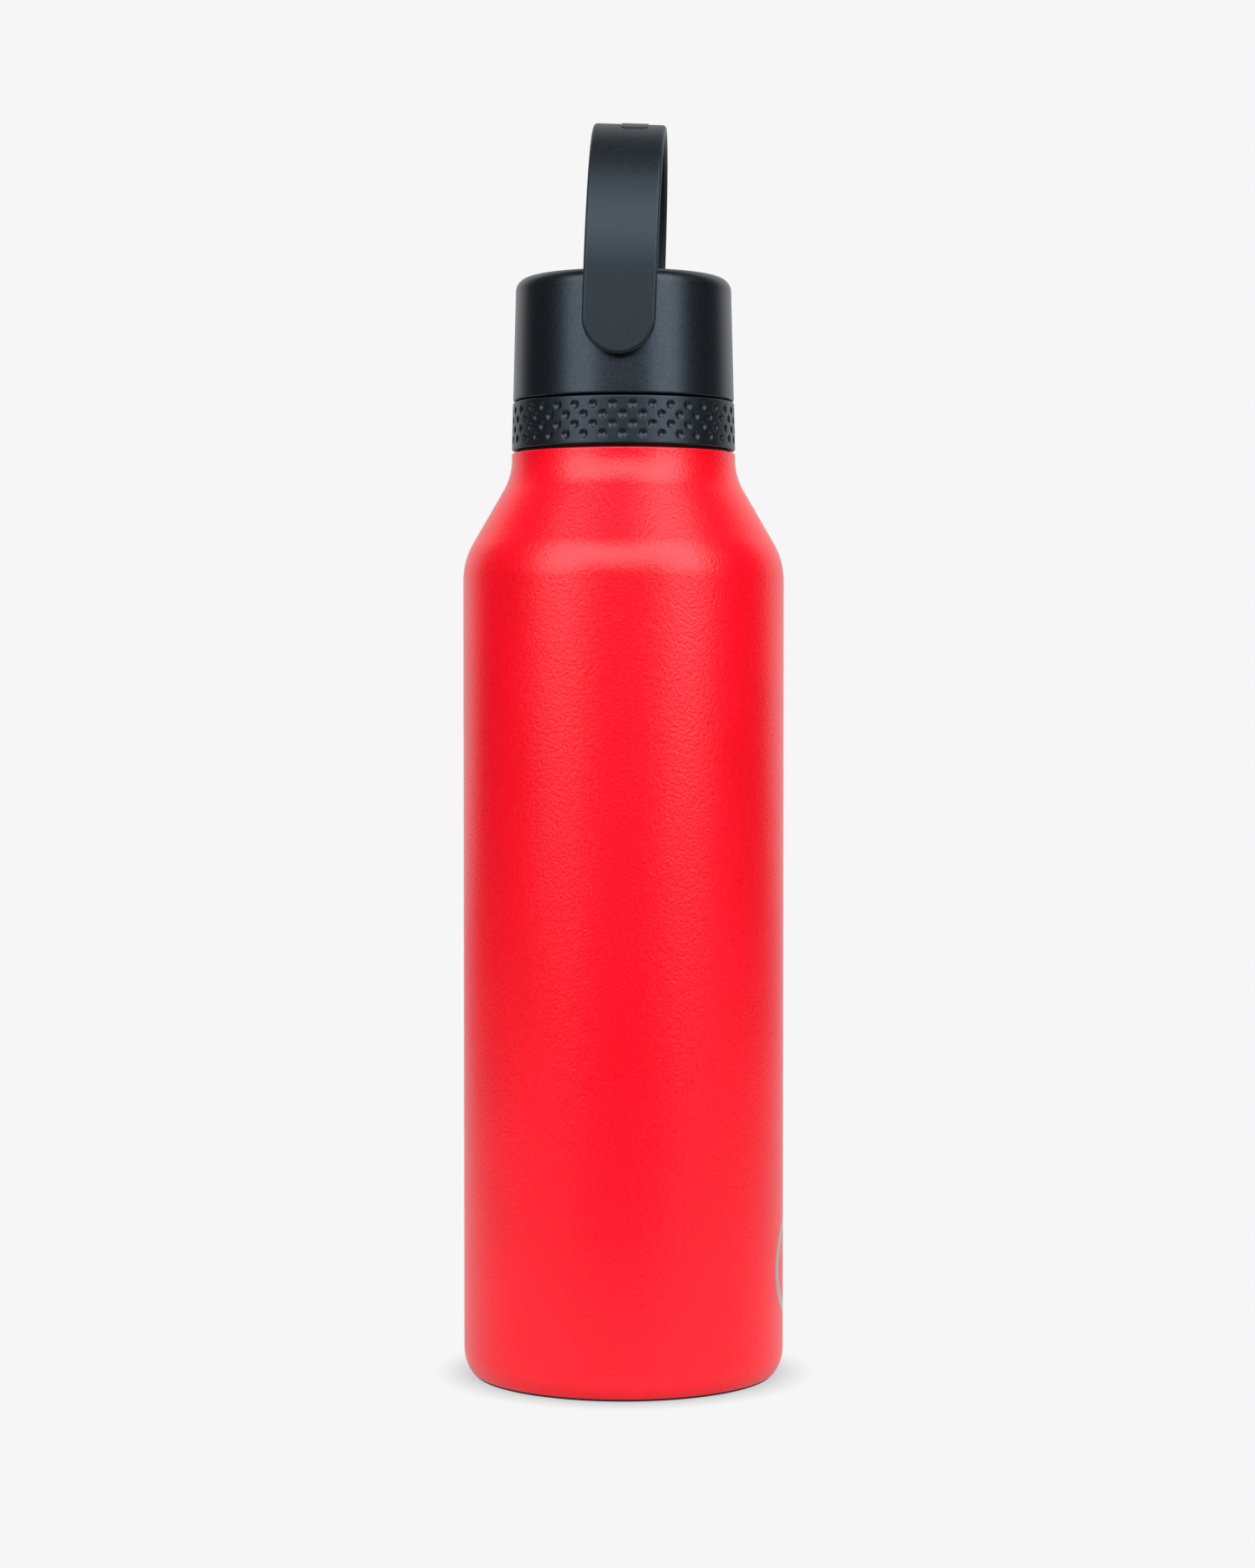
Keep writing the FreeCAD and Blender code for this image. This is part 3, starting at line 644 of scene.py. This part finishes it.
def dull_roof(tree, place, gloss, roof_height):
    """Roughness socket that turns dull where the moulding reaches the height of its roof."""
    z = add(tree, "ShaderNodeSeparateXYZ", {0: place}).outputs["Z"]
    share = add(tree, "ShaderNodeMapRange", {
        "Value": z, "From Min": (roof_height - ROOF_FADE) * MM, "From Max": roof_height * MM})
    mixed = add(tree, "ShaderNodeMix", {"Factor": share.outputs[0], 2: gloss, 3: ROOF_ROUGH})
    return mixed.outputs[0]


def moulded(name, dark, light, rough, grain_mm, bump_height, tint="#ffffff", roof_height=None):
    """Moulded plastic or rubber: its two tones, roughness, grain, bump and colour of gloss."""
    made, tree, shader, place = new_material(name)
    grain = add(tree, "ShaderNodeTexNoise", {
        "Vector": place, "Scale": per_metre(grain_mm), "Detail": 2.0})
    colour = add(tree, "ShaderNodeMix", {
        "Factor": grain.outputs[0], 6: linear(dark), 7: linear(light)}, data_type="RGBA")
    gloss = add(tree, "ShaderNodeMapRange", {
        "Value": grain.outputs[0], "From Min": GRAIN_LOW, "From Max": GRAIN_HIGH,
        "To Min": rough - ROUGH_SPREAD, "To Max": rough + ROUGH_SPREAD})
    bump = add(tree, "ShaderNodeBump", {
        "Height": grain.outputs[0], "Strength": 0.3, "Distance": bump_height * MM})
    roughness = gloss.outputs[0]
    if roof_height:
        roughness = dull_roof(tree, place, roughness, roof_height)
    tree.links.new(colour.outputs[2], shader.inputs["Base Color"])
    tree.links.new(roughness, shader.inputs["Roughness"])
    tree.links.new(bump.outputs[0], shader.inputs["Normal"])
    shader.inputs["IOR"].default_value = PLASTIC_IOR
    shader.inputs["Specular Tint"].default_value = linear(tint)
    return made


print("cap roof roughness:", ROOF_ROUGH)

# %% [markdown]
# ## Brushed stainless steel
# The liner and base are 18/8 steel. Spinning and brushing leave fine rings round the axis, so
# the grain is stretched: long round the bottle and short up it.

# %% steel
STRETCH = 0.04          # the lines are 1 / 0.04 = 25 times as long as they are wide
STEEL_SPREAD = 0.07     # the lines move the roughness up and down by this much
LINE_BUMP = 0.05        # height of the lines


def stainless(name, shade, rough, line_mm):
    """Bare metal with fine rings round the bottle's axis."""
    made, tree, shader, place = new_material(name)
    stretch = add(tree, "ShaderNodeMapping", {"Vector": place, "Scale": (STRETCH, STRETCH, 1.0)})
    lines = add(tree, "ShaderNodeTexNoise", {
        "Vector": stretch.outputs[0], "Scale": per_metre(line_mm), "Detail": 3.0})
    gloss = add(tree, "ShaderNodeMapRange", {
        "Value": lines.outputs[0], "From Min": GRAIN_LOW, "From Max": GRAIN_HIGH,
        "To Min": rough - STEEL_SPREAD, "To Max": rough + STEEL_SPREAD})
    bump = add(tree, "ShaderNodeBump", {
        "Height": lines.outputs[0], "Strength": 0.15, "Distance": LINE_BUMP * MM})
    tree.links.new(gloss.outputs[0], shader.inputs["Roughness"])
    tree.links.new(bump.outputs[0], shader.inputs["Normal"])
    shader.inputs["Base Color"].default_value = linear(shade)
    shader.inputs["Metallic"].default_value = 1.0
    return made


print("steel lines are stretched", round(1 / STRETCH), "times")

# %% [markdown]
# ## Giving each part its material
# Rubber and foam reuse the moulded recipe with a dull surface, and so does the collar's plug. The
# parts inside are dressed too, because the lid comes off. A moulded line gives the darkest and
# lightest tone, the roughness, and the sizes of the grain and of its bump. A metal has one tone, a
# roughness and the width of its lines.

# %% materials for every part
COOL = "#d2eaff"        # the black mouldings' gloss is a little blue
INK, INK_LIT = "#0b0d0f", "#111417"
cap_plastic = moulded("polypropylene_black", INK, INK_LIT, 0.34, 0.6, 0.06, COOL, cap_top_z)
inner_plastic = moulded("polypropylene_black_inner", INK, INK_LIT, 0.8, 0.6, 0.06, COOL)
band_plastic = moulded("polypropylene_black_band", INK, INK_LIT, 0.38, 0.6, 0.05, COOL)
strap_plastic = moulded("nylon_strap_black", "#0d1012", "#14181b", 0.46, 0.6, 0.07, COOL)
silicone = moulded("silicone_black", "#08090a", "#0e0f10", 0.62, 0.5, 0.02)
pale_silicone = moulded("silicone_translucent", "#c9c9c4", "#d6d6d2", 0.5, 0.5, 0.02)
grey_plastic = moulded("polypropylene_grey", "#5c5e62", "#686a6e", 0.42, 0.4, 0.03)
foam = moulded("foam_white", "#e4e0d4", "#f2efe6", 0.9, 0.8, 0.3)
acetal = moulded("acetal_black", "#101113", "#17181a", 0.3, 0.4, 0.01)
fibre = moulded("washer_fibre", "#0c0c0d", "#1a1a1b", 0.8, 0.2, 0.03)
steel = stainless("steel_brushed", "#c6c4c0", 0.32, 0.15)
pin_steel = stainless("steel_turned", "#b9b9bb", 0.25, 0.12)
copper = stainless("copper_foil", "#d98a63", 0.3, 0.4)
getter_steel = stainless("getter_alloy", "#6d6c6c", 0.55, 0.4)

wears = {
    "base_plate": steel, "inner_liner": steel, "copper_wrap": copper, "getter": getter_steel,
    "vacuum_port_seal": getter_steel, "collar_body": inner_plastic, "spout_sleeve": grey_plastic,
    "cap_core": grey_plastic, "cap_foam": foam, "cap_gasket": pale_silicone,
}
for side in ("front", "back"):
    wears["pivot_bush_" + side] = acetal
    wears["friction_washer_" + side] = fibre
    wears["stud_clip_" + side] = pin_steel
    wears["pivot_stud_" + side] = pin_steel
for name, material in wears.items():
    nodes[name].data.materials.clear()
    nodes[name].data.materials.append(material)
for piece, material in ((wall, coat), (foot, silicone), (gasket, silicone), (band, band_plastic),
                        (cap, cap_plastic), (strap, strap_plastic), (pad, strap_plastic)):
    piece.data.materials.clear()
    piece.data.materials.append(material)
print("materials:", len(bpy.data.materials))

# %% [markdown]
# ## The studio
# Catalogue pictures of bottles use a white sweep behind and large soft boxes in front. Here the
# sweep is two cards, a floor and a backdrop, which glow evenly instead of being lit: a lit floor
# would never come out as one flat white. The floor darkens only where the foot stands close to it.
# Both cards are clear from behind, so the bottle can be looked at from below and from the back.
# The room itself is dim, which keeps the bottle's sides deep, but the eye sees it as a white wall.
# The two tall boxes draw the upright bands on the lid, and the high box lights the shoulder.

# %% floor and backdrop
WHITE = 0.9216          # linear value of the sweep
FLOOR_LIGHT = 0.8       # light that the floor gives back to the bottle
SHADE_REACH = 0.009     # metres round the foot that its shade reaches
SHADE_DEPTH = 0.68      # light left where the foot meets the floor
SHADE_FROM, SHADE_TO = 0.35, 0.95  # openness at which the shade is full and at which it ends
ROOM = "#c8d4e4"
ROOM_LIGHT = 0.06


def plane(name, corners):
    """Card of the studio from its four corners in metres."""
    mesh = bpy.data.meshes.new(name)
    mesh.from_pydata(corners, [], [(0, 1, 2, 3)])
    made = bpy.data.objects.new(name, mesh)
    bpy.context.scene.collection.objects.link(made)
    return made


def glowing_card(name, shown, given, shaded=False):
    """White card that glows evenly: how bright it is shown, and how much light it gives.

    A shaded card darkens where something stands close to it. Each card is clear from behind, so
    that the bottle can be looked at from below and from the back.
    """
    made = bpy.data.materials.new(name)
    made.use_nodes = True
    tree = made.node_tree
    tree.nodes.clear()
    seen = add(tree, "ShaderNodeLightPath").outputs["Is Camera Ray"]
    level = add(tree, "ShaderNodeMapRange", {
        "Value": seen, "To Min": given, "To Max": shown}).outputs[0]
    if shaded:
        open_air = add(tree, "ShaderNodeAmbientOcclusion", {"Distance": SHADE_REACH}, samples=16)
        shade = add(tree, "ShaderNodeMapRange", {
            "Value": open_air.outputs["AO"], "From Min": SHADE_FROM, "From Max": SHADE_TO,
            "To Min": SHADE_DEPTH, "To Max": 1.0})
        shaded_level = add(tree, "ShaderNodeMath", {
            0: level, 1: shade.outputs[0]}, operation="MULTIPLY")
        level = shaded_level.outputs[0]
    glow = add(tree, "ShaderNodeEmission", {"Strength": level})
    clear = add(tree, "ShaderNodeBsdfTransparent")
    behind = add(tree, "ShaderNodeNewGeometry").outputs["Backfacing"]
    card = add(tree, "ShaderNodeMixShader", {0: behind, 1: glow.outputs[0], 2: clear.outputs[0]})
    add(tree, "ShaderNodeOutputMaterial", {"Surface": card.outputs[0]})
    return made


FRONT, BACK = -0.17, 1.2  # where the floor starts and where the backdrop stands, in metres
GAP = 3 * SHADE_REACH   # the floor stops this short, so the backdrop throws no shade on it
FLOOR_HALF = 0.5        # half width of the lit floor
SWEEP_HALF = 1.6        # half width of the backdrop
SWEEP_TALL = 2.6        # height of the backdrop
floor = plane("floor", [(-FLOOR_HALF, FRONT, 0), (FLOOR_HALF, FRONT, 0),
                        (FLOOR_HALF, BACK - GAP, 0), (-FLOOR_HALF, BACK - GAP, 0)])
floor.data.materials.append(glowing_card("sweep_floor", WHITE, FLOOR_LIGHT, shaded=True))
back = plane("backdrop", [(-SWEEP_HALF, BACK, 0), (SWEEP_HALF, BACK, 0),
                          (SWEEP_HALF, BACK, SWEEP_TALL), (-SWEEP_HALF, BACK, SWEEP_TALL)])
back.data.materials.append(glowing_card("sweep_back", WHITE, WHITE))

# the room is dim, and a white wall shows behind whichever side is looked at
world = bpy.data.worlds.new("studio_air")
world.use_nodes = True
air = world.node_tree
air.nodes.clear()
dim = add(air, "ShaderNodeBackground", {"Color": linear(ROOM), "Strength": ROOM_LIGHT})
wall_light = add(air, "ShaderNodeBackground", {"Color": (1, 1, 1, 1), "Strength": WHITE})
looked_at = add(air, "ShaderNodeLightPath").outputs["Is Camera Ray"]
both = add(air, "ShaderNodeMixShader", {0: looked_at, 1: dim.outputs[0], 2: wall_light.outputs[0]})
add(air, "ShaderNodeOutputWorld", {"Surface": both.outputs[0]})
bpy.context.scene.world = world
print("floor and backdrop at", WHITE, "with a room at", ROOM_LIGHT)


# %% soft boxes
BOX_LIGHT = 3.7         # radiance of a soft box, where the white sweep has about 0.9
BOX_AWAY = 1.2          # metres from the bottle's axis
AIM_Z = 0.17            # height on the bottle that the boxes are set out from, in metres


def soft_box(name, azimuth, elevation, wide, tall, level):
    """Area light set out by angles: where its middle is, how wide and tall it looks, in degrees.

    Azimuth is counted round from the front, and the box squarely faces the bottle.
    """
    turn_to, rise = math.radians(azimuth), math.radians(elevation)
    outward = Vector((math.sin(turn_to) * math.cos(rise),
                      -math.cos(turn_to) * math.cos(rise), math.sin(rise)))
    lamp = bpy.data.lights.new(name, "AREA")
    lamp.shape = "RECTANGLE"
    lamp.size = 2 * BOX_AWAY * math.tan(math.radians(wide / 2))
    lamp.size_y = 2 * BOX_AWAY * math.tan(math.radians(tall / 2))
    lamp.energy = level * BOX_LIGHT * math.pi * lamp.size * lamp.size_y
    made = bpy.data.objects.new(name, lamp)
    made.location = outward * BOX_AWAY + Vector((0, 0, AIM_Z))
    made.rotation_euler = outward.to_track_quat("Z", "Y").to_euler()
    made.visible_camera = False
    bpy.context.scene.collection.objects.link(made)
    return made


soft_box("box_left", azimuth=-42.5, elevation=28, wide=35, tall=50, level=1.06)
soft_box("box_right", azimuth=47, elevation=31, wide=35, tall=56, level=1.18)
soft_box("box_high", azimuth=1, elevation=33, wide=38, tall=28, level=1.05)
print("soft boxes:", len(bpy.data.lights))

# %% [markdown]
# ## The camera
# A long lens from just above the middle of the bottle keeps its sides upright.

# %% camera
LENS = 77.462           # on a sensor 36 mm across
AZIMUTH = math.radians(2.3)  # the camera stands this far round towards +x
TILT = 1.667            # degrees that it looks down
CAMERA_Z = 157.1        # its height above the floor
BACK_OFF = 770.4        # its distance from the bottle's axis
ASIDE = 0.9             # it stands this far to the right of square on
camera_data = bpy.data.cameras.new("camera")
camera_data.sensor_width = 36
camera_data.lens = LENS
camera_data.clip_start = 0.01
camera = bpy.data.objects.new("camera", camera_data)
aside, back_off = ASIDE * MM, BACK_OFF * MM
camera.location = (aside * math.cos(AZIMUTH) + back_off * math.sin(AZIMUTH),
                   aside * math.sin(AZIMUTH) - back_off * math.cos(AZIMUTH), CAMERA_Z * MM)
camera.rotation_euler = (math.radians(90 - TILT), 0, AZIMUTH)
bpy.context.scene.collection.objects.link(camera)
bpy.context.scene.camera = camera
bpy.context.scene.view_settings.view_transform = "Standard"
print("lens", round(camera_data.lens, 2), "mm")
